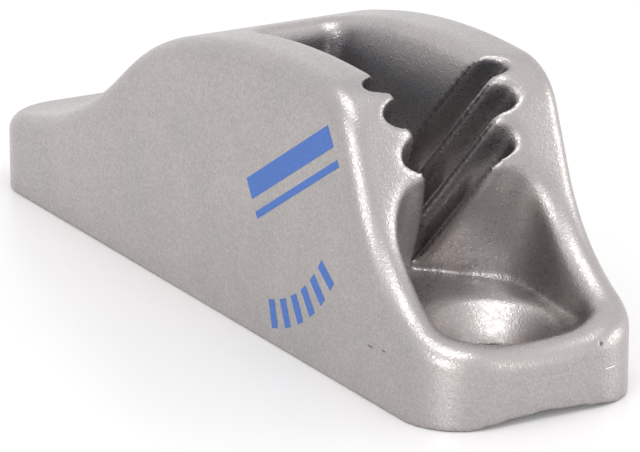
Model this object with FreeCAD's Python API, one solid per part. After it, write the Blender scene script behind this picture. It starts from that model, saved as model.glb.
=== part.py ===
import FreeCAD, Part
import math
import os
from FreeCAD import Vector

# Jam cleat for 3 to 6 mm rope, one aluminium casting. Millimetres, +Z up, +X towards the open jaw.
# The origin is the middle of the underside.

# Outside of the casting
length = 66.0
width = 16.8
crest_height = 20.35         # highest point of the two jaw walls
rear_height = 5.5            # top edge of the rear end
front_height = 5.05          # top edge of the front end, at its corners
rear_corner_radius = 5.2     # corners in plan
front_corner_radius = 4.5
outer_edge_radius = 1.4

# Side view: the rear ramp, the crest, the nose and the front slope
rear_slope = 5.0             # degrees above the base
ramp_foot_inset = 11.9       # from the rear end
ramp_foot_radius = 38.0
ramp_top_inset = 26.6        # from the rear end
ramp_top_drop = 2.95         # below the crest
ramp_top_radius = 25.0
crest_rear_inset = 26.3      # from the front end to where the crest starts to fall to the rear
crest_front_inset = 17.6     # and to the front
crest_fall = 4.0
crest_radius = 60.0
nose_inset = 12.5            # from the front end
nose_radius = 4.5
front_slope_steep = 68.5
front_slope_shallow = 15.0
front_slope_radius = 13.0

# Shallow dish along the lip at the front end
dish_half_width = 5.0
dish_depth = 0.6
dish_edge_radius = 4.0
dish_sweep = 90.0            # degrees, back from the lip and up to where it runs out of the slope

# The V groove that grips the rope
jaw_wall = 4.35              # thickness of the two walls at the height of the crest
jaw_apex_height = 5.6        # where the planes of the two walls meet
jaw_bottom_width = 0.2
jaw_length = 32.5            # from the rear wall of the groove to the front end
jaw_rear_rounding = 0.4      # corner radius of the rear end over the half width there
rim_radius = 1.3             # also of the pocket, as far as its side walls allow

# The teeth: grooves along the same slanting line in both walls, steep on their rear side
tooth_angle = 53.2           # slant of the ridges above the base
tooth_pitch = 2.57
tooth_count = 3
first_ridge_inset = 15.8     # from the front end to the rearmost ridge, at first_ridge_drop
first_ridge_drop = 0.45      # below the crest
ridge_land = 0.3
groove_steep = 70.0          # sides of a groove, to the wall
groove_gentle = 42.0
groove_bottom_radius = 0.7
groove_foot = 0.3            # height above the apex of the walls at which the grooves start

# The pocket in front of the teeth
pocket_wall = 2.8            # thickness of the two side walls
pocket_top_drop = 5.35       # below the crest
pocket_rear_angle = (42.0, 80.0)       # of the rear walls to the centre line, low and high
pocket_rear_inset = (18.6, 10.7)       # from the front end to where they meet, low and high
pocket_rear_radius = (5.5, 1.8)
pocket_front_radius = 3.0
pocket_rim_flat = 0.1        # least width left on its side walls between the two roundings
pocket_shoulder_inset = 10.1  # from the front end to where its rim meets the groove's
pocket_low_height = 3.5
front_wall = 3.4             # thickness of the front wall at pocket_low_height
floor_height = 4.5           # under the front screw
floor_fall = 4.3             # degrees, down towards the front

# Screws
screw_spacing = 49.0
front_screw_inset = 6.6      # from the front end
screw_hole_radius = 2.6
screw_head_radius = 4.6
countersink_angle = 90.0
rear_head_height = 5.6

# The guide hole that the loaded rope leaves through
guide_radius = 3.6
guide_height = 9.5
guide_taper = 9.0            # length over which the hole runs out into the groove

# Hollow of the underside
hollow_width = 11.0
hollow_depth = 0.5

front_x = length / 2
rear_x = -length / 2
half_width = width / 2
front_screw_x = front_x - front_screw_inset
rear_screw_x = front_screw_x - screw_spacing
jaw_rear_x = front_x - jaw_length
jaw_slope = (half_width - jaw_wall) / (crest_height - jaw_apex_height)
jaw_bottom_height = jaw_apex_height + jaw_bottom_width / 2 / jaw_slope
pocket_half_width = half_width - pocket_wall
pocket_rim_radius = min(rim_radius, pocket_wall - outer_edge_radius - pocket_rim_flat)
pocket_top_height = crest_height - pocket_top_drop
first_ridge_height = crest_height - first_ridge_drop
overrun = 1.0                # how far cutters run past what they cut
tolerance = 1e-4             # points closer than this are taken as one
skim = 0.05                  # how far the groove cutters stand out of the wall
arc_share = 0.98             # most of a side that the arcs at its two ends take
probes = 5                   # points looked at along an edge, its ends with them
above = crest_height + overrun
pocket_shoulder_x = front_x - pocket_shoulder_inset


def unit(angle):
    """Direction in the side view, in degrees above +X."""
    a = math.radians(angle)
    return Vector(math.cos(a), 0, math.sin(a))


def crossing(p, p_angle, q, q_angle):
    """Where two lines of the side view cross."""
    u = unit(p_angle)
    v = unit(q_angle)
    t = ((q.x - p.x) * v.z - (q.z - p.z) * v.x) / (u.x * v.z - u.z * v.x)
    return p + u * t


def fitted(corners):
    """Directions to both neighbours and length of the arc's tangents, for each corner.

    Corners are given as (point, radius). Where two arcs meet on a side that is too short for
    both, both take less of it.
    """
    n = len(corners)
    rays = []
    gaps = []
    reaches = []
    for i, (p, r) in enumerate(corners):
        before = (corners[i - 1][0] - p).normalize()
        after = (corners[(i + 1) % n][0] - p).normalize()
        rays.append((before, after))
        gaps.append(p.distanceToPoint(corners[(i + 1) % n][0]))
        reaches.append(r / math.tan(before.getAngle(after) / 2))
    shares = []
    for i, gap in enumerate(gaps):
        taken = reaches[i] + reaches[(i + 1) % n]
        shares.append(min(1, arc_share * gap / taken) if taken > 0 else 1)
    return [(*rays[i], reaches[i] * min(shares[i - 1], shares[i])) for i in range(n)]


def arc_centre(p, before, after, reach):
    """Centre of the arc that rounds a corner."""
    half = before.getAngle(after) / 2
    return p + (before + after).normalize() * (reach / math.cos(half))


def rounded_wire(corners):
    """Closed wire through corners given as (point, radius), each rounded by its tangent arc."""
    edges = []
    ends = []
    for (p, r), (before, after, reach) in zip(corners, fitted(corners)):
        start = p + before * reach
        end = p + after * reach
        if reach > 0:
            centre = arc_centre(p, before, after, reach)
            middle = centre + (p - centre).normalize() * centre.distanceToPoint(start)
            edges.append(Part.Arc(start, middle, end).toShape())
        ends.append((start, end))
    for (start, end), (next_start, next_end) in zip(ends, ends[1:] + ends[:1]):
        if end.distanceToPoint(next_start) > tolerance:
            edges.append(Part.makeLine(end, next_start))
    return Part.Wire(Part.sortEdges(edges)[0])


def prism(wire, direction):
    """Solid from a flat closed wire."""
    return Part.Face(wire).extrude(direction)


def side_corners():
    """Corners of the side view in order, as (point, radius) by name."""
    rear_top = Vector(rear_x, 0, rear_height)
    ramp_foot = rear_top + unit(rear_slope) * (ramp_foot_inset / math.cos(math.radians(rear_slope)))
    ramp_top = Vector(rear_x + ramp_top_inset, 0, crest_height - ramp_top_drop)
    crest_rear = Vector(front_x - crest_rear_inset, 0, crest_height)
    crest_front = Vector(front_x - crest_front_inset, 0, crest_height)
    nose = crossing(crest_front, -crest_fall, Vector(front_x - nose_inset, 0, 0), 90)
    front_top = Vector(front_x, 0, front_height)
    slope_bend = crossing(nose, -front_slope_steep, front_top, -front_slope_shallow)
    front_end = Vector(front_x + overrun, 0, 0)
    rear_end = Vector(rear_x - overrun, 0, 0)
    return {
        "rear_end": (rear_end, 0),
        "rear_top": (crossing(rear_top, rear_slope, rear_end, 90), 0),
        "ramp_foot": (ramp_foot, ramp_foot_radius),
        "ramp_top": (ramp_top, ramp_top_radius),
        "crest_rear": (crest_rear, crest_radius),
        "crest_front": (crest_front, crest_radius),
        "nose": (nose, nose_radius),
        "slope_bend": (slope_bend, front_slope_radius),
        "front_top": (crossing(front_top, -front_slope_shallow, front_end, 90), 0),
        "front_end": (front_end, 0),
    }


def dish():
    """Cutter for the dish: a flat arc turned about the axis of the front slope, to follow it."""
    corners = side_corners()
    arcs = dict(zip(corners, fitted(list(corners.values()))))
    bend = corners["slope_bend"][0]
    before, after, reach = arcs["slope_bend"]
    centre = arc_centre(bend, before, after, reach)
    radius = (dish_half_width ** 2 + dish_depth ** 2) / (2 * dish_depth)
    low = centre - Vector(0, 0, centre.distanceToPoint(bend + before * reach) + dish_depth)
    high = low + Vector(0, 0, dish_depth + overrun)
    spread = Vector(0, math.sqrt(radius ** 2 - (radius - dish_depth - overrun) ** 2), 0)
    arc = Part.Arc(high - spread, low, high + spread).toShape()
    section = Part.Face(Part.Wire([arc, Part.makeLine(high + spread, high - spread)]))
    return section.revolve(centre, Vector(0, 1, 0), dish_sweep)


def plan_wire():
    """The casting from above."""
    return rounded_wire([
        (Vector(rear_x, -half_width, -overrun), rear_corner_radius),
        (Vector(front_x, -half_width, -overrun), front_corner_radius),
        (Vector(front_x, half_width, -overrun), front_corner_radius),
        (Vector(rear_x, half_width, -overrun), rear_corner_radius),
    ])


def seam(solid, a, b):
    """Edges of a solid that lie on the surfaces of both other shapes."""
    shells = (Part.Compound(a.Faces), Part.Compound(b.Faces))
    reach = b.BoundBox
    reach.enlarge(overrun)
    found = []
    for edge in solid.Edges:
        if edge.Degenerated or not reach.isInside(edge.BoundBox):
            continue
        points = [Part.Vertex(p) for p in edge.discretize(probes)[1:-1]]
        if all(p.distToShape(shell)[0] < tolerance for p in points for shell in shells):
            found.append(edge)
    return found


def blank():
    """Side view and plan crossed, with the dish in the lip and the rounded outer edge."""
    outline = rounded_wire(list(side_corners().values()))
    side = prism(outline, Vector(0, width + 2 * overrun, 0))
    side.translate(Vector(0, -half_width - overrun, 0))
    tool = dish()
    dished = side.cut(tool)
    creases = [edge for edge in seam(dished, side, tool) if edge.BoundBox.YLength < dish_half_width]
    side = dished.makeFillet(dish_edge_radius, creases)
    plan = prism(plan_wire(), Vector(0, 0, above + overrun))
    solid = side.common(plan)
    top = [edge for edge in seam(solid, side, plan) if edge.BoundBox.ZMin > tolerance]
    return solid.makeFillet(outer_edge_radius, top)


def jaw():
    """The V groove, open at the front, its rear corners rounded in proportion to its width."""
    wires = []
    for z in (jaw_bottom_height, above):
        y = (z - jaw_apex_height) * jaw_slope
        wires.append(rounded_wire([
            (Vector(jaw_rear_x, -y, z), y * jaw_rear_rounding),
            (Vector(front_x + overrun, -y, z), 0),
            (Vector(front_x + overrun, y, z), 0),
            (Vector(jaw_rear_x, y, z), y * jaw_rear_rounding),
        ]))
    return Part.makeLoft(wires, True, True)


def pocket_wire(z, rear_angle, rear_inset, rear_radius, front):
    """Plan of the pocket: two slanting rear walls, side walls and a front wall."""
    rear = Vector(front_x - rear_inset, 0, z)
    side_x = rear.x + pocket_half_width / math.tan(math.radians(rear_angle))
    return rounded_wire([
        (rear, 0),
        (Vector(side_x, -pocket_half_width, z), rear_radius),
        (Vector(front, -pocket_half_width, z), pocket_front_radius),
        (Vector(front, pocket_half_width, z), pocket_front_radius),
        (Vector(side_x, pocket_half_width, z), rear_radius),
    ])


def pocket():
    """Cavity in front of the teeth, its front wall leaning as the teeth do, on a sloping floor."""
    lean = (pocket_top_height - pocket_low_height) / math.tan(math.radians(tooth_angle))
    low_front = front_x - front_wall
    wires = []
    for i, (z, front) in enumerate([(pocket_low_height, low_front), (pocket_top_height, low_front + lean)]):
        wires.append(pocket_wire(z, pocket_rear_angle[i], pocket_rear_inset[i], pocket_rear_radius[i], front))
    loft = Part.makeLoft(wires, True, True)
    floor = Part.makeBox(length, width, length)
    floor.translate(Vector(-length / 2, -half_width, 0))
    floor.rotate(Vector(0, 0, 0), Vector(0, 1, 0), floor_fall)
    floor.translate(Vector(front_screw_x, 0, floor_height))
    return loft.common(floor)


def screw_hole(x, head_height):
    """Countersunk hole, open above the head."""
    depth = (screw_head_radius - screw_hole_radius) / math.tan(math.radians(countersink_angle) / 2)
    wire = Part.makePolygon([
        Vector(0, 0, -overrun),
        Vector(screw_hole_radius, 0, -overrun),
        Vector(screw_hole_radius, 0, head_height - depth),
        Vector(screw_head_radius, 0, head_height),
        Vector(screw_head_radius, 0, above),
        Vector(0, 0, above),
        Vector(0, 0, -overrun),
    ])
    tool = Part.Face(Part.Wire(wire)).revolve(Vector(0, 0, 0), Vector(0, 0, 1), 360)
    tool.translate(Vector(x, 0, 0))
    return tool


def guide():
    """Round hole from the ramp into the rear of the groove, where it tapers out."""
    wire = Part.makePolygon([
        Vector(rear_x, 0, 0),
        Vector(rear_x, 0, guide_radius),
        Vector(jaw_rear_x, 0, guide_radius),
        Vector(jaw_rear_x + guide_taper, 0, 0),
        Vector(rear_x, 0, 0),
    ])
    tool = Part.Face(Part.Wire(wire)).revolve(Vector(0, 0, 0), Vector(1, 0, 0), 360)
    tool.translate(Vector(0, 0, guide_height))
    return tool


def hollow():
    """Shallow channel along the underside."""
    radius = (hollow_width ** 2 / 4 + hollow_depth ** 2) / (2 * hollow_depth)
    centre = Vector(rear_x - overrun, 0, hollow_depth - radius)
    return Part.makeCylinder(radius, length + 2 * overrun, centre, Vector(1, 0, 0))


def groove(index, side):
    """Cutter for one groove between two ridges, in the wall on the given side."""
    slant = math.radians(tooth_angle)
    along = Vector(math.cos(slant), side * jaw_slope * math.sin(slant), math.sin(slant)).normalize()
    half = math.atan(jaw_slope)
    into = Vector(0, side * math.cos(half), -math.sin(half))
    across = into.cross(along)
    if across.x < 0:
        across = across * -1
    ridge = Vector(
        front_x - first_ridge_inset,
        side * (first_ridge_height - jaw_apex_height) * jaw_slope,
        first_ridge_height,
    )
    start = ridge + across * (index * tooth_pitch)
    foot = start - along * ((start.z - jaw_apex_height - groove_foot) / along.z)
    top = above + tooth_pitch
    a = ridge_land / 2
    b = tooth_pitch - ridge_land / 2
    steep = math.tan(math.radians(groove_steep))
    gentle = math.tan(math.radians(groove_gentle))
    u = (b * gentle + a * steep) / (steep + gentle)
    w = (u - a) * steep

    def point(u, w):
        return foot + across * u + into * w

    section = rounded_wire([
        (point(a, -skim), 0),
        (point(a, 0), 0),
        (point(u, w), groove_bottom_radius),
        (point(b, 0), 0),
        (point(b, -skim), 0),
    ])
    return prism(section, along * ((top - foot.z) / along.z))


def build():
    """The whole casting."""
    solid = blank()
    before = solid
    tool = jaw()
    solid = solid.cut(tool)
    # The rim of the groove, but not its foot, which the pocket takes away.
    rim = [edge for edge in seam(solid, before, tool) if edge.BoundBox.ZMin > jaw_bottom_height + tolerance]
    solid = solid.makeFillet(rim_radius, rim)
    before = solid
    tool = pocket()
    solid = solid.cut(tool)
    # The rim of the pocket on the front slope, but not the last ridge, which stays sharp.
    rim = [edge for edge in seam(solid, before, tool) if edge.BoundBox.XMin > pocket_shoulder_x]
    solid = solid.makeFillet(pocket_rim_radius, rim)
    tools = [guide(), hollow()]
    tools.append(screw_hole(front_screw_x, floor_height))
    tools.append(screw_hole(rear_screw_x, rear_head_height))
    for i in range(tooth_count):
        tools.append(groove(i, -1))
        tools.append(groove(i, 1))
    return solid.cut(tools)


os.makedirs("parts", exist_ok=True)
build().exportStep("parts/cleat_body.step")
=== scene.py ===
"""Jam cleat: a small aluminium casting that grips a rope in a toothed V groove.

The file is laid out as a Blender add-on and is run as a script. The casting is a copy of the
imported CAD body: its groove mouths are scooped out, its skin is smoothed as the mould and the
blasting left it, and it gets its finish. A plain mark is printed on its side and it stands in
a pale studio. Lengths are in metres, +X towards the open jaw, +Z up.
"""

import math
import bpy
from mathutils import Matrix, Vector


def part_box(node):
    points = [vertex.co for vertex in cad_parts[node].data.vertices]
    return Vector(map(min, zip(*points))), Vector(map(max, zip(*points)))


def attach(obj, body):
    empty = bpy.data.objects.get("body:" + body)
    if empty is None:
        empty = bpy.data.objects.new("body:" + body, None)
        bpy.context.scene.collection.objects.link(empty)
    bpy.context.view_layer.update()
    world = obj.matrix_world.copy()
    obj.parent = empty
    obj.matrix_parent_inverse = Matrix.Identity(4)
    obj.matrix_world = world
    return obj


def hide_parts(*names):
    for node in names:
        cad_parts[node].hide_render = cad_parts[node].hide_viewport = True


bl_info = {
    "name": "Jam cleat",
    "version": (1, 0, 0),
    "blender": (4, 5, 0),
    "location": "View3D > Sidebar > Cleat",
    "description": "Skin, finish, side print and studio of a cast aluminium jam cleat",
    "category": "Object",
}

import bmesh
import bpy
import numpy as np
from bpy.props import FloatProperty, FloatVectorProperty, IntProperty, PointerProperty, StringProperty
from mathutils import Matrix, Vector

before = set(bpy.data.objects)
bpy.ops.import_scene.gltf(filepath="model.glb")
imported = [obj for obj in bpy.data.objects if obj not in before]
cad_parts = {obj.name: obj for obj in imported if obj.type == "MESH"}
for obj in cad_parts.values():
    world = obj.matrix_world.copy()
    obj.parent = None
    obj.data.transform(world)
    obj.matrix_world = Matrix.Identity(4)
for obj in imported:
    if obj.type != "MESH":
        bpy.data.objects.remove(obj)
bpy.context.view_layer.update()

MM = 0.001
LOW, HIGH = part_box("cleat_body")


# Colours and shader nodes

def linear(code):
    """sRGB hex code to linear red, green, blue and an alpha of one."""
    srgb = np.array([int(code[i:i + 2], 16) for i in (1, 3, 5)]) / 255
    low = srgb / 12.92
    high = ((srgb + 0.055) / 1.055) ** 2.4
    return (*np.where(srgb <= 0.04045, low, high).tolist(), 1.0)


def per_metre(feature):
    """Texture scale for a feature of that size in metres."""
    return 1 / feature


def new_material(name):
    """Empty material and its node tree."""
    old = bpy.data.materials.get(name)
    if old:
        bpy.data.materials.remove(old)
    material = bpy.data.materials.new(name)
    material.use_nodes = True
    material.node_tree.nodes.clear()
    return material, material.node_tree


def add_node(tree, kind, inputs=None, **settings):
    """Adds a shader node, sets its properties, and sets or links its inputs."""
    node = tree.nodes.new("ShaderNode" + kind)
    for key, value in settings.items():
        setattr(node, key, value)
    for key, value in (inputs or {}).items():
        if isinstance(value, bpy.types.NodeSocket):
            tree.links.new(value, node.inputs[key])
        else:
            node.inputs[key].default_value = value
    return node


# Meshes

def new_mesh_object(name, vertices, faces):
    """Object at the origin from an array of vertices and a list of faces."""
    old = bpy.data.objects.get(name)
    if old:
        bpy.data.objects.remove(old)
    mesh = bpy.data.meshes.new(name)
    mesh.from_pydata(vertices.tolist(), [], faces)
    mesh.validate()
    piece = bpy.data.objects.new(name, mesh)
    bpy.context.scene.collection.objects.link(piece)
    return piece


def tube_faces(rows, columns):
    """Faces of a tube from a grid of vertices: quads around it and one face over each end.

    Which way they point is left to turn_outward.
    """
    i = np.arange(rows - 1)[:, None]
    j = np.arange(columns)[None, :]
    k = (j + 1) % columns
    corners = [i * columns + j, i * columns + k, (i + 1) * columns + k, (i + 1) * columns + j]
    quads = np.stack(np.broadcast_arrays(*corners), -1).reshape(-1, 4)
    first = range(columns)
    last = range(rows * columns - 1, (rows - 1) * columns - 1, -1)
    return [*quads.tolist(), list(first), list(last)]


def joined(parts):
    """Vertices and faces of several shapes as one, where every face is a quad."""
    offset = 0
    faces = []
    for points, quads in parts:
        faces += (np.array(quads) + offset).tolist()
        offset += len(points)
    return np.concatenate([points for points, quads in parts]), faces


def edit_mesh(mesh, change):
    """Runs one bmesh change on a mesh."""
    shell = bmesh.new()
    shell.from_mesh(mesh)
    change(shell)
    shell.to_mesh(mesh)
    shell.free()


def turn_outward(piece):
    """Turns the faces of a closed piece outwards."""
    edit_mesh(piece.data, lambda shell: bmesh.ops.recalc_face_normals(shell, faces=shell.faces))


def apply_modifiers(piece):
    """Makes what the modifiers give the piece's own mesh."""
    graph = bpy.context.evaluated_depsgraph_get()
    mesh = bpy.data.meshes.new_from_object(piece.evaluated_get(graph))
    piece.modifiers.clear()
    piece.data = mesh


# Sizes and colours that a user would change

class CleatCasting(bpy.types.PropertyGroup):
    """Grooves and skin of the casting"""

    grooves: IntProperty(name="Grooves", description="Grooves in each wall of the jaw", default=3, min=1)
    slant: FloatProperty(
        name="Slant", description="Slant of the ridges above the base", default=math.radians(53.2),
        subtype="ANGLE")
    wall_slope: FloatProperty(
        name="Wall slope", description="Lean of the jaw's walls, sideways over upwards", default=0.2746)
    apex: FloatProperty(
        name="Apex", description="Height at which the jaw's walls meet", default=5.6 * MM,
        unit="LENGTH", precision=6)
    ridge_inset: FloatProperty(
        name="Ridge inset", description="From the front end to the rearmost ridge", default=15.8 * MM,
        unit="LENGTH", precision=6)
    ridge_drop: FloatProperty(
        name="Ridge drop", description="How far below the crest that is measured", default=0.45 * MM,
        unit="LENGTH", precision=6)
    pitch: FloatProperty(
        name="Pitch", description="From ridge to ridge", default=2.57 * MM, unit="LENGTH", precision=6)
    breadth: FloatProperty(
        name="Breadth", description="Breadth of the trough that scoops out a groove", default=1.9 * MM,
        unit="LENGTH", precision=6)
    depth: FloatProperty(
        name="Depth", description="Depth of a groove at its mouth", default=1.7 * MM,
        unit="LENGTH", precision=6)
    foot: FloatProperty(
        name="Foot", description="Height at which the troughs start", default=7.5 * MM,
        unit="LENGTH", precision=6)
    rise: FloatProperty(
        name="Rise", description="Length over which they deepen", default=9 * MM,
        unit="LENGTH", precision=6)
    voxel: FloatProperty(
        name="Voxel", description="Grid of the remeshed skin", default=0.16 * MM,
        unit="LENGTH", precision=6)
    rounds: IntProperty(name="Rounds", description="Rounds of smoothing everywhere", default=8, min=0)
    floor_rounds: IntProperty(
        name="Floor rounds", description="More rounds on the pocket's floor", default=120, min=0)
    rim_rounds: IntProperty(
        name="Rim rounds", description="More rounds on the pocket's rims", default=70, min=0)
    mouth_rounds: IntProperty(
        name="Mouth rounds", description="More rounds on the mouths of the grooves", default=25, min=0)
    share: FloatProperty(
        name="Share", description="Share of the triangles that is kept", default=0.38, min=0, max=1)


class CleatFinish(bpy.types.PropertyGroup):
    """Colours and grain of the casting"""

    metal: StringProperty(name="Metal", description="Colour of the anodised metal", default="#B7B1AF")
    shade: StringProperty(name="Shade", description="Colour of the duller patches", default="#AFABAA")
    # Painted shade: a darker, cooler colour laid on the upper walls of the groove, where they hem each other
    # in.
    painted_shade: StringProperty(
        name="Painted_shade", description="Colour of the walls that the rope rubs on", default="#7E7D81")
    scar: StringProperty(name="Scar", description="Colour in the deep nicks", default="#5E5B5A")
    bare: StringProperty(
        name="Bare", description="Colour of the metal that a light nick bares", default="#F2F0EC")
    dust: StringProperty(name="Dust", description="Colour of the dust specks", default="#DDDAD6")
    roughness: FloatProperty(
        name="Roughness", description="Roughness of the blasted skin", default=0.36, min=0, max=1)
    spread: FloatProperty(
        name="Spread", description="Change of roughness from dimple to dimple", default=0.09, min=0, max=1)
    grain: FloatProperty(
        name="Grain", description="Size of the blasted grain", default=0.14 * MM,
        unit="LENGTH", precision=6)
    relief: FloatProperty(
        name="Relief", description="Depth of the blasted grain", default=0.016 * MM,
        unit="LENGTH", precision=6)


class CleatPrint(bpy.types.PropertyGroup):
    """Mark on the near side"""

    ink: StringProperty(name="Ink", description="Colour of the printed mark", default="#3F69B4")
    stripe: FloatProperty(
        name="Stripe", description="Breadth of the broad stripe", default=1.5 * MM,
        unit="LENGTH", precision=6)
    bars: IntProperty(name="Bars", description="Bars in the curved row", default=6, min=1)
    bar: FloatProperty(
        name="Bar", description="Breadth of a bar", default=0.8 * MM, unit="LENGTH", precision=6)
    thickness: FloatProperty(
        name="Thickness", description="Thickness of the ink", default=0.02 * MM,
        unit="LENGTH", precision=6)


class CleatStudio(bpy.types.PropertyGroup):
    """Floor, walls, lamps and camera"""

    floor: StringProperty(name="Floor", description="Colour of the floor", default="#DEDDDD")
    glow: FloatProperty(
        name="Glow", description="Light that the floor adds for the camera alone", default=0.1, min=0)
    front_wall: FloatProperty(
        name="Front wall", description="Strength of the wall before the jaw", default=1.25, min=0)
    rear_wall: FloatProperty(
        name="Rear wall", description="Strength of the wall behind the ramp", default=1.2, min=0)
    key_power: FloatProperty(
        name="Key", description="Power of the overhead softbox in watts", default=1.2, min=0)
    fill_power: FloatProperty(
        name="Fill", description="Power of each side softbox in watts", default=0.8, min=0)
    azimuth: FloatProperty(
        name="Azimuth", description="Camera round the cleat", default=math.radians(60.1), subtype="ANGLE")
    elevation: FloatProperty(
        name="Elevation", description="Camera above the floor", default=math.radians(17.95),
        subtype="ANGLE")
    distance: FloatProperty(
        name="Distance", description="Camera from the cleat", default=313.18 * MM, unit="LENGTH")
    aim: FloatVectorProperty(
        name="Aim", description="Camera moved right and up in its own frame", size=2,
        default=(1.70 * MM, 3.72 * MM), unit="LENGTH", precision=6)
    lens: FloatProperty(name="Lens", description="Focal length in millimetres", default=247.5)


# The casting's shape

CUTTER_ROWS = 40              # rings along a cutter
CUTTER_COLUMNS = 32           # points around one
CUTTER_OVERRUN = 5 * MM       # how far a cutter runs out past the rim
CUTTER_BACK = 0.8 * MM        # depth of its side that lies in the open jaw
WEIGHT_STEPS = 8              # steps in which smoothing fades out
WELD = 0.001 * MM             # points closer than this are one


def groove_cutter(index, side, shape):
    """Rounded trough that deepens one groove of the jaw towards its mouth.

    A closed ring is carried along the slant of the ridges: a half ellipse into the wall, as deep
    as the groove, closed by a shallower half ellipse in the open jaw. The depth grows from
    nothing at the foot along a smooth step and is full at the end of the rise.
    """
    slant = shape.slant
    slope = shape.wall_slope
    along = Vector((math.cos(slant), side * slope * math.sin(slant), math.sin(slant))).normalized()
    into = Vector((0, side, -slope)).normalized()
    across = into.cross(along) * side
    height = HIGH.z - shape.ridge_drop
    ridge = Vector((HIGH.x - shape.ridge_inset, side * slope * (height - shape.apex), height))
    mouth = ridge + across * (index + 0.5) * shape.pitch
    run = (mouth.z - shape.foot) / along.z
    foot = mouth - along * run

    reach = np.linspace(0, run + CUTTER_OVERRUN, CUTTER_ROWS)
    rise = np.clip(reach / shape.rise, 0, 1)
    rise = rise ** 2 * (3 - 2 * rise)
    angle = np.linspace(0, 2 * math.pi, CUTTER_COLUMNS, endpoint=False)
    inward = np.where(np.sin(angle) > 0, shape.depth, CUTTER_BACK) * rise[:, None] * np.sin(angle)
    sideways = shape.breadth / 2 * np.cos(angle)
    points = (
        np.array(foot) + reach[:, None, None] * np.array(along)
        + sideways[None, :, None] * np.array(across) + inward[:, :, None] * np.array(into))
    return points.reshape(-1, 3), tube_faces(CUTTER_ROWS, CUTTER_COLUMNS)


def scoop_mouths(casting, shape):
    """Cuts the troughs into both walls with modifiers, and gives the cutters back."""
    cutters = []
    for side in (-1, 1):
        for index in range(shape.grooves):
            cutter = new_mesh_object(f"cutter_{side}_{index}", *groove_cutter(index, side, shape))
            turn_outward(cutter)
            cutters.append(cutter)
            cut = casting.modifiers.new("groove", "BOOLEAN")
            cut.object = cutter
            cut.operation = "DIFFERENCE"
            cut.solver = "MANIFOLD"
    return cutters


def ramp(value, start, full):
    """Share that grows evenly from none at the start to one where it is full."""
    return np.clip((value - start) / (full - start), 0, 1)


def smooth_part(casting, name, share, rounds):
    """Smoothing modifier on a part of the skin, by the share that each vertex takes of it."""
    group = casting.vertex_groups.new(name=name)
    for step in range(1, WEIGHT_STEPS + 1):
        chosen = np.flatnonzero(np.rint(share * WEIGHT_STEPS) == step)
        group.add(chosen.tolist(), step / WEIGHT_STEPS, "REPLACE")
    smooth = casting.modifiers.new(name, "SMOOTH")
    smooth.vertex_group = name
    smooth.iterations = rounds


def soften_pocket(casting, shape):
    """Smooths the pocket as the mould and the blasting did.

    Each part of the skin is where several ramps overlap: of the distance in from the front end,
    of the distance in from the sides, and of the height, all in millimetres.
    """
    points = np.empty(len(casting.data.vertices) * 3, np.float32)
    casting.data.vertices.foreach_get("co", points)
    x, y, height = points.reshape(-1, 3).T / MM
    inset = HIGH.x / MM - x
    inboard = HIGH.y / MM - abs(y)
    # The floor and the edge of its countersink take most, fading out upwards and at both ends.
    floor = ramp(height, 9, 6.5) * ramp(inset, 15, 12.5) * ramp(inset, 2.6, 3.6)
    smooth_part(casting, "floor", floor * (inboard > 2) * (height > 2.4), shape.floor_rounds)
    # The rims of the side walls fade out to the outside, to the middle and to the teeth.
    rims = ramp(inboard, 1.2, 2) * ramp(inboard, 5.2, 3.7) * ramp(inset, 12.5, 10.5) * ramp(height, 5, 6)
    smooth_part(casting, "rims", rims * (inset > 1), shape.rim_rounds)
    # The mouths of the grooves start just outside the walls that the ridges lie in.
    outside = abs(y) - (height - shape.apex / MM) * shape.wall_slope
    mouths = ramp(outside, 0.35, 0.85) * ramp(inboard, 1.2, 1.8) * ramp(height, 12, 14) * ramp(inset, 23, 21)
    smooth_part(casting, "mouths", mouths, shape.mouth_rounds)


# The casting's finish

PATCH = 6 * MM                # duller patches, where the oxide is thicker
CAST_GRAIN = 0.9 * MM         # unevenness of the cast skin under the blasting
CAST_RELIEF = 0.009 * MM      # and its depth
NICK_DEPTH = 0.06 * MM
DUST_GAP = 2.6 * MM           # from speck to speck
# Painted shade in the groove, laid on by ambient occlusion:
PAINTED_SHADE_REACH = 9 * MM          # how near walls have to be to hem each other in
PAINTED_SHADE_START = 9 * MM          # height at which the painted shade starts
PAINTED_SHADE_FULL = 15 * MM          # and is full

# Middle and half size of each nick, in millimetres.
DEEP_NICKS = (
    ((24.6, -8.4, 3.9), (0.45, 0.5, 0.1)),
    ((26.3, -8.4, 4.1), (0.32, 0.5, 0.07)),
    ((33.0, 4.2, 4.4), (0.5, 0.25, 0.2)),
)
LIGHT_NICKS = (
    ((33.0, 5.1, 2.65), (0.5, 0.6, 0.09)),
    ((33.0, -7.4, 3.0), (0.5, 0.5, 0.05)),
)


def in_metres(sizes):
    """Sizes given in millimetres."""
    return [size * MM for size in sizes]


def nick_mask(tree, place, nicks):
    """Mask of some nicks: each is where its own ellipsoid meets the surface."""
    found = 0.0
    for middle, half in nicks:
        away = add_node(tree, "VectorMath", {0: place, 1: in_metres(middle)}, operation="SUBTRACT")
        share = add_node(tree, "VectorMath", {
            0: away.outputs["Vector"], 1: in_metres(half)}, operation="DIVIDE")
        length = add_node(tree, "VectorMath", {0: share.outputs["Vector"]}, operation="LENGTH")
        inside = add_node(tree, "MapRange", {
            "Value": length.outputs["Value"], "From Min": 1.0, "From Max": 0.4})
        found = add_node(tree, "Math", {
            0: found, 1: inside.outputs["Result"]}, operation="MAXIMUM").outputs["Value"]
    return found


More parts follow.
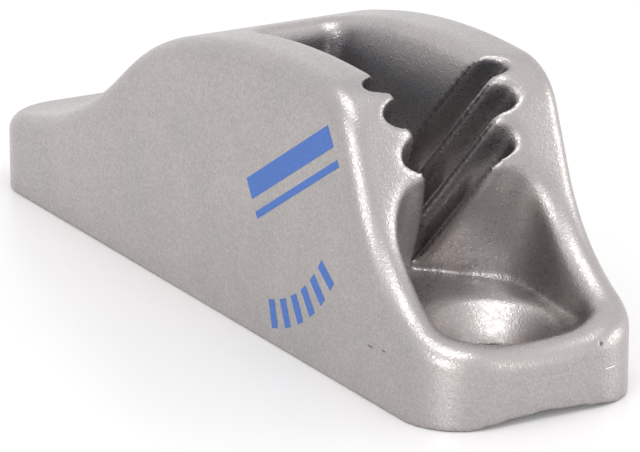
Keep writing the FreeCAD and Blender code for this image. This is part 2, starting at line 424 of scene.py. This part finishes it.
def painted_shade_mask(tree, place):
    """Mask of painted shade: the upper walls of the groove, hemmed in on both sides, found by ambient
    occlusion.
    """
    # Painted shade: strongest where ambient occlusion finds near walls, weaker in the deepest hollows, and
    # only high up.
    open_sky = add_node(tree, "AmbientOcclusion", {"Distance": PAINTED_SHADE_REACH}, samples=8)
    hemmed = add_node(tree, "MapRange", {
        "Value": open_sky.outputs["AO"], "From Min": 0.85, "From Max": 0.6})
    reached = add_node(tree, "MapRange", {
        "Value": open_sky.outputs["AO"], "From Min": 0.25, "From Max": 0.5})
    height = add_node(tree, "MapRange", {
        "Value": add_node(tree, "SeparateXYZ", {"Vector": place}).outputs["Z"],
        "From Min": PAINTED_SHADE_START, "From Max": PAINTED_SHADE_FULL})
    shade_share = add_node(tree, "Math", {
        0: hemmed.outputs["Result"], 1: reached.outputs["Result"]}, operation="MULTIPLY")
    return add_node(tree, "Math", {
        0: shade_share.outputs["Value"], 1: height.outputs["Result"]}, operation="MULTIPLY").outputs["Value"]


def skin_colour(tree, place, grain, deep, light, finish):
    """Colour of the skin: metal and dull patches, then painted shade in the groove, glitter, nicks and dust
    over them.
    """
    patches = add_node(tree, "TexNoise", {"Vector": place, "Scale": per_metre(PATCH), "Detail": 3.0})
    dull = add_node(tree, "MapRange", {"Value": patches.outputs["Fac"], "From Min": 0.35, "From Max": 0.7})
    base = add_node(tree, "Mix", {
        "Factor": dull.outputs["Result"], "A": linear(finish.metal), "B": linear(finish.shade),
    }, data_type="RGBA")
    # Painted shade: the groove's upper walls mixed towards a darker, cooler colour.
    shaded_base = add_node(tree, "Mix", {
        "Factor": painted_shade_mask(tree, place), "A": base.outputs["Result"], "B": linear(finish.painted_shade),
    }, data_type="RGBA")
    glitter = add_node(tree, "MapRange", {
        "Value": grain.outputs["Color"], "From Min": 0.2, "From Max": 0.8, "To Min": 0.93, "To Max": 1.07})
    grained = add_node(tree, "VectorMath", {
        0: shaded_base.outputs["Result"], "Scale": glitter.outputs["Result"]}, operation="SCALE")
    scarred = add_node(tree, "Mix", {
        "Factor": deep, "A": grained.outputs["Vector"], "B": linear(finish.scar)}, data_type="RGBA")
    bared = add_node(tree, "Mix", {
        "Factor": light, "A": scarred.outputs["Result"], "B": linear(finish.bare)}, data_type="RGBA")
    # Dust: pale specks of about 0.1 mm.
    specks = add_node(tree, "TexVoronoi", {"Vector": place, "Scale": per_metre(DUST_GAP)})
    dusty = add_node(tree, "MapRange", {
        "Value": specks.outputs["Distance"], "From Min": 0.032, "From Max": 0.016})
    return add_node(tree, "Mix", {
        "Factor": dusty.outputs["Result"], "A": bared.outputs["Result"], "B": linear(finish.dust),
    }, data_type="RGBA").outputs["Result"]


def skin_normal(tree, place, grain, nicked, finish):
    """Normal of the skin: cast unevenness, then the dents of the nicks, then the blasted dimples."""
    skin = add_node(tree, "TexNoise", {"Vector": place, "Scale": per_metre(CAST_GRAIN), "Detail": 2.0})
    uneven = add_node(tree, "Bump", {
        "Strength": 1.0, "Distance": CAST_RELIEF, "Height": skin.outputs["Fac"]})
    dented = add_node(tree, "Bump", {
        "Strength": 1.0, "Distance": -NICK_DEPTH, "Height": nicked, "Normal": uneven.outputs["Normal"]})
    return add_node(tree, "Bump", {
        "Strength": 1.0, "Distance": finish.relief, "Height": grain.outputs["Distance"],
        "Normal": dented.outputs["Normal"]}).outputs["Normal"]


def anodised_aluminium(finish):
    """Cast aluminium, bead blasted and clear hard anodised.

    The blasting leaves a fine even grain that glitters a little and spreads the highlights;
    the oxide layer greys the metal and makes it slightly warm on the flats.
    """
    material, tree = new_material("blasted_anodised_aluminium")
    place = add_node(tree, "TexCoord").outputs["Object"]
    # Dimples of the blasting. The real ones are about 0.05 mm and would not show at this distance.
    grain = add_node(tree, "TexVoronoi", {"Vector": place, "Scale": per_metre(finish.grain)})
    deep = nick_mask(tree, place, DEEP_NICKS)
    light = nick_mask(tree, place, LIGHT_NICKS)
    nicked = add_node(tree, "Math", {0: deep, 1: light}, operation="MAXIMUM").outputs["Value"]
    rough = add_node(tree, "MapRange", {
        "Value": grain.outputs["Color"], "From Min": 0.2, "From Max": 0.8,
        "To Min": finish.roughness + finish.spread, "To Max": finish.roughness - finish.spread})
    shader = add_node(tree, "BsdfPrincipled", {
        "Base Color": skin_colour(tree, place, grain, deep, light, finish),
        "Metallic": 1.0,
        "Coat Weight": 0.6,
        "Coat Roughness": 0.3,
        "Roughness": rough.outputs["Result"],
        "Normal": skin_normal(tree, place, grain, nicked, finish),
    })
    add_node(tree, "OutputMaterial", {"Surface": shader.outputs["BSDF"]})
    return material


class CLEAT_OT_casting(bpy.types.Operator):
    """Cast body with its groove mouths scooped out, blasted and anodised"""

    bl_idname = "cleat.casting"
    bl_label = "Casting"

    def execute(self, context):
        scene = context.scene
        shape = scene.cleat_casting
        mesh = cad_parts["cleat_body"].data.copy()
        edit_mesh(mesh, lambda shell: bmesh.ops.remove_doubles(shell, verts=shell.verts, dist=WELD))
        casting = bpy.data.objects.new("cast_body", mesh)
        scene.collection.objects.link(casting)

        cutters = scoop_mouths(casting, shape)
        remesh = casting.modifiers.new("skin", "REMESH")
        remesh.mode = "VOXEL"
        remesh.voxel_size = shape.voxel
        smooth = casting.modifiers.new("blast", "SMOOTH")
        smooth.iterations = shape.rounds
        apply_modifiers(casting)
        for cutter in cutters:
            bpy.data.objects.remove(cutter)

        soften_pocket(casting, shape)
        thin = casting.modifiers.new("thin", "DECIMATE")
        thin.ratio = shape.share
        apply_modifiers(casting)
        casting.vertex_groups.clear()

        casting.data.shade_smooth()
        casting.data.materials.clear()
        casting.data.materials.append(anodised_aluminium(scene.cleat_finish))
        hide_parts("cleat_body")
        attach(casting, "root")
        return {"FINISHED"}


# The printed mark

INK_GRAIN = 0.3 * MM                      # thicker and thinner spots of the film
INK_RELIEF = 0.006 * MM
STRIPE_FRONT = (19.4 * MM, 16.9 * MM)     # ends of the broad stripe, along the cleat and up
STRIPE_REAR = (8.4 * MM, 10.3 * MM)
STRIPE_DROP = 1.9 * MM                    # of the narrow stripe under it
NARROW_SHARE = 1 / 3                      # of the broad stripe's breadth
ARC_CENTRE = (8.6 * MM, 14.5 * MM)
ARC_RADIUS = 12.6 * MM
ARC_ANGLES = (-76, -36)                   # degrees, of the first and the last bar
BAR_REACH = 1.0 * MM                      # half the length of a bar


def screen_ink(settings):
    """Screen-printed two-part ink: a thin, even, half-matt film with a faint grain of its own."""
    material, tree = new_material("blue_screen_ink")
    place = add_node(tree, "TexCoord").outputs["Object"]
    cover = add_node(tree, "TexNoise", {"Vector": place, "Scale": per_metre(INK_GRAIN), "Detail": 3.0})
    value = add_node(tree, "MapRange", {
        "Value": cover.outputs["Fac"], "From Min": 0.3, "From Max": 0.7, "To Min": 0.9, "To Max": 1.12})
    colour = add_node(tree, "HueSaturation", {
        "Color": linear(settings.ink), "Value": value.outputs["Result"]})
    bump = add_node(tree, "Bump", {
        "Strength": 1.0, "Distance": INK_RELIEF, "Height": cover.outputs["Fac"]})
    shader = add_node(tree, "BsdfPrincipled", {
        "Base Color": colour.outputs["Color"], "Roughness": 0.5, "Normal": bump.outputs["Normal"]})
    add_node(tree, "OutputMaterial", {"Surface": shader.outputs["BSDF"]})
    return material


def ink_bar(ends, breadth, thickness):
    """Closed flat bar of ink on the near side, between two ends given as (x, z).

    At each end a thin rectangle stands across the bar: its corners lie half the breadth to
    either side of the end, one thickness out of the side wall and one thickness into it.
    """
    along = (ends[1] - ends[0]) / np.linalg.norm(ends[1] - ends[0])
    half = np.array([-along[1], along[0]]) * breadth / 2
    left = ends + half
    right = ends - half
    outer = np.full(2, LOW.y - thickness)
    inner = np.full(2, LOW.y + thickness)
    corners = [
        np.stack([edge[:, 0], y, edge[:, 1]], 1)
        for edge, y in ((left, outer), (right, outer), (right, inner), (left, inner))]
    return np.stack(corners, 1).reshape(-1, 3), tube_faces(2, len(corners))


def mark_shapes(settings):
    """Two plain stripes that slant down to the rear, over a curved row of plain bars.

    The stripes are straight and lie side by side, a broad one over a narrow one. The bars stand
    along an arc, each across it.
    """
    stripe = np.array([STRIPE_REAR, STRIPE_FRONT])
    along = (stripe[1] - stripe[0]) / np.linalg.norm(stripe[1] - stripe[0])
    under = np.array([along[1], -along[0]]) * STRIPE_DROP
    shapes = [
        ink_bar(stripe, settings.stripe, settings.thickness),
        ink_bar(stripe + under, settings.stripe * NARROW_SHARE, settings.thickness),
    ]
    for angle in np.radians(np.linspace(*ARC_ANGLES, settings.bars)):
        outward = np.array([math.cos(angle), math.sin(angle)])
        reaches = np.array([[ARC_RADIUS - BAR_REACH], [ARC_RADIUS + BAR_REACH]])
        ends = np.array(ARC_CENTRE) + outward * reaches
        shapes.append(ink_bar(ends, settings.bar, settings.thickness))
    return shapes


class CLEAT_OT_side_print(bpy.types.Operator):
    """Print the plain stripes and bars on the near side"""

    bl_idname = "cleat.side_print"
    bl_label = "Side print"

    def execute(self, context):
        settings = context.scene.cleat_print
        mark = new_mesh_object("side_print", *joined(mark_shapes(settings)))
        turn_outward(mark)
        mark.data.materials.append(screen_ink(settings))
        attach(mark, "root")
        return {"FINISHED"}


# The studio

FLOOR_HALF = 3.0              # half the side of the floor
FLOOR_GAP = 0.02 * MM         # below the cleat, so that the two faces stay apart
LAMP_AIM = (0, 0, 10 * MM)    # the middle of the cleat
SOFTBOXES = (
    # name, place and size in metres, and the setting that gives its power
    ("overhead_softbox", (0.15, -0.08, 0.57), 0.4, "key_power"),
    ("left_softbox", (0.36, -0.45, 0.16), 0.3, "fill_power"),
    ("right_softbox", (0.27, 0.53, 0.1), 0.34, "fill_power"),
)
WALL_BLEND = (-0.6, 0.4)      # where the rear wall's light turns into the front wall's, along +X


def white_acrylic(settings):
    """White acrylic sheet: white to the camera, it keeps the cleat's shadow and mirrors it faintly."""
    material, tree = new_material("white_acrylic_floor")
    sheet = add_node(tree, "BsdfPrincipled", {"Base Color": linear(settings.floor), "Roughness": 0.3})
    camera = add_node(tree, "LightPath").outputs["Is Camera Ray"]
    strength = add_node(tree, "Math", {0: camera, 1: settings.glow}, operation="MULTIPLY")
    glow = add_node(tree, "Emission", {"Strength": strength.outputs["Value"]})
    both = add_node(tree, "AddShader", {0: sheet.outputs["BSDF"], 1: glow.outputs["Emission"]})
    add_node(tree, "OutputMaterial", {"Surface": both.outputs["Shader"]})
    return material


def studio_walls(settings):
    """World: white to the camera, and walls that are brighter before the jaw for the cleat."""
    world = bpy.data.worlds.new("studio_walls")
    world.use_nodes = True
    tree = world.node_tree
    tree.nodes.clear()
    way = add_node(tree, "SeparateXYZ", {"Vector": add_node(tree, "TexCoord").outputs["Generated"]})
    wall = add_node(tree, "MapRange", {
        "Value": way.outputs["X"], "From Min": WALL_BLEND[0], "From Max": WALL_BLEND[1],
        "To Min": settings.rear_wall, "To Max": settings.front_wall}, interpolation_type="SMOOTHSTEP")
    camera = add_node(tree, "LightPath").outputs["Is Camera Ray"]
    strength = add_node(tree, "Mix", {"Factor": camera, "A": wall.outputs["Result"], "B": 1.0})
    background = add_node(tree, "Background", {"Strength": strength.outputs["Result"]})
    add_node(tree, "OutputWorld", {"Surface": background.outputs["Background"]})
    return world


def add_softbox(name, place, size, power):
    """Square area lamp at a place, turned to the cleat."""
    lamp = bpy.data.lights.new(name, "AREA")
    lamp.size = size
    lamp.energy = power
    stand = bpy.data.objects.new(name, lamp)
    turn = (place - Vector(LAMP_AIM)).to_track_quat("Z", "Y").to_matrix().to_4x4()
    stand.matrix_world = Matrix.Translation(place) @ turn
    bpy.context.scene.collection.objects.link(stand)


def camera_frame(azimuth, elevation):
    """Right, up and back of a level camera; azimuth 0 looks along +Y and 90 along -X."""
    right = Vector((math.cos(azimuth), math.sin(azimuth), 0))
    back = Vector((
        math.sin(azimuth) * math.cos(elevation),
        -math.cos(azimuth) * math.cos(elevation),
        math.sin(elevation),
    ))
    return right, back.cross(right), back


def add_camera(settings):
    """Camera at the photograph's angle."""
    right, up, back = camera_frame(settings.azimuth, settings.elevation)
    place = back * settings.distance + right * settings.aim[0] + up * settings.aim[1]
    camera = bpy.data.cameras.new("camera")
    camera.lens = settings.lens
    camera.clip_start = 10 * MM
    tripod = bpy.data.objects.new("camera", camera)
    tripod.matrix_world = Matrix.Translation(place) @ Matrix((right, up, back)).transposed().to_4x4()
    bpy.context.scene.collection.objects.link(tripod)
    return tripod


class CLEAT_OT_studio(bpy.types.Operator):
    """Set up the floor, walls, softboxes and camera"""

    bl_idname = "cleat.studio"
    bl_label = "Studio"

    def execute(self, context):
        scene = context.scene
        settings = scene.cleat_studio
        corners = np.array([[-1.0, -1, 0], [1, -1, 0], [1, 1, 0], [-1, 1, 0]]) * FLOOR_HALF
        corners[:, 2] = LOW.z - FLOOR_GAP
        floor = new_mesh_object("floor", corners, [[0, 1, 2, 3]])
        floor.data.materials.append(white_acrylic(settings))
        scene.world = studio_walls(settings)
        for name, place, size, power in SOFTBOXES:
            add_softbox(name, Vector(place), size, getattr(settings, power))
        scene.camera = add_camera(settings)
        scene.view_settings.view_transform = "Standard"
        return {"FINISHED"}


# The add-on

STEPS = (
    ("cleat.casting", ("cleat_casting", "cleat_finish")),
    ("cleat.side_print", ("cleat_print",)),
    ("cleat.studio", ("cleat_studio",)),
)


class CLEAT_PT_sidebar(bpy.types.Panel):
    """Sizes, colours and steps of the jam cleat"""

    bl_label = "Jam cleat"
    bl_idname = "CLEAT_PT_sidebar"
    bl_space_type = "VIEW_3D"
    bl_region_type = "UI"
    bl_category = "Cleat"

    def draw(self, context):
        for operator, groups in STEPS:
            box = self.layout.box()
            for group in groups:
                settings = getattr(context.scene, group)
                for name in settings.bl_rna.properties.keys():
                    if name not in ("rna_type", "name"):
                        box.prop(settings, name)
            box.operator(operator)


GROUPS = {
    "cleat_casting": CleatCasting,
    "cleat_finish": CleatFinish,
    "cleat_print": CleatPrint,
    "cleat_studio": CleatStudio,
}
CLASSES = (*GROUPS.values(), CLEAT_OT_casting, CLEAT_OT_side_print, CLEAT_OT_studio, CLEAT_PT_sidebar)


def register():
    for cls in CLASSES:
        bpy.utils.register_class(cls)
    for name, group in GROUPS.items():
        setattr(bpy.types.Scene, name, PointerProperty(type=group))


def unregister():
    for name in GROUPS:
        delattr(bpy.types.Scene, name)
    for cls in reversed(CLASSES):
        bpy.utils.unregister_class(cls)


def main():
    """Builds the cleat and its studio."""
    register()
    bpy.ops.cleat.casting()
    bpy.ops.cleat.side_print()
    bpy.ops.cleat.studio()


if __name__ == "__main__":
    main()
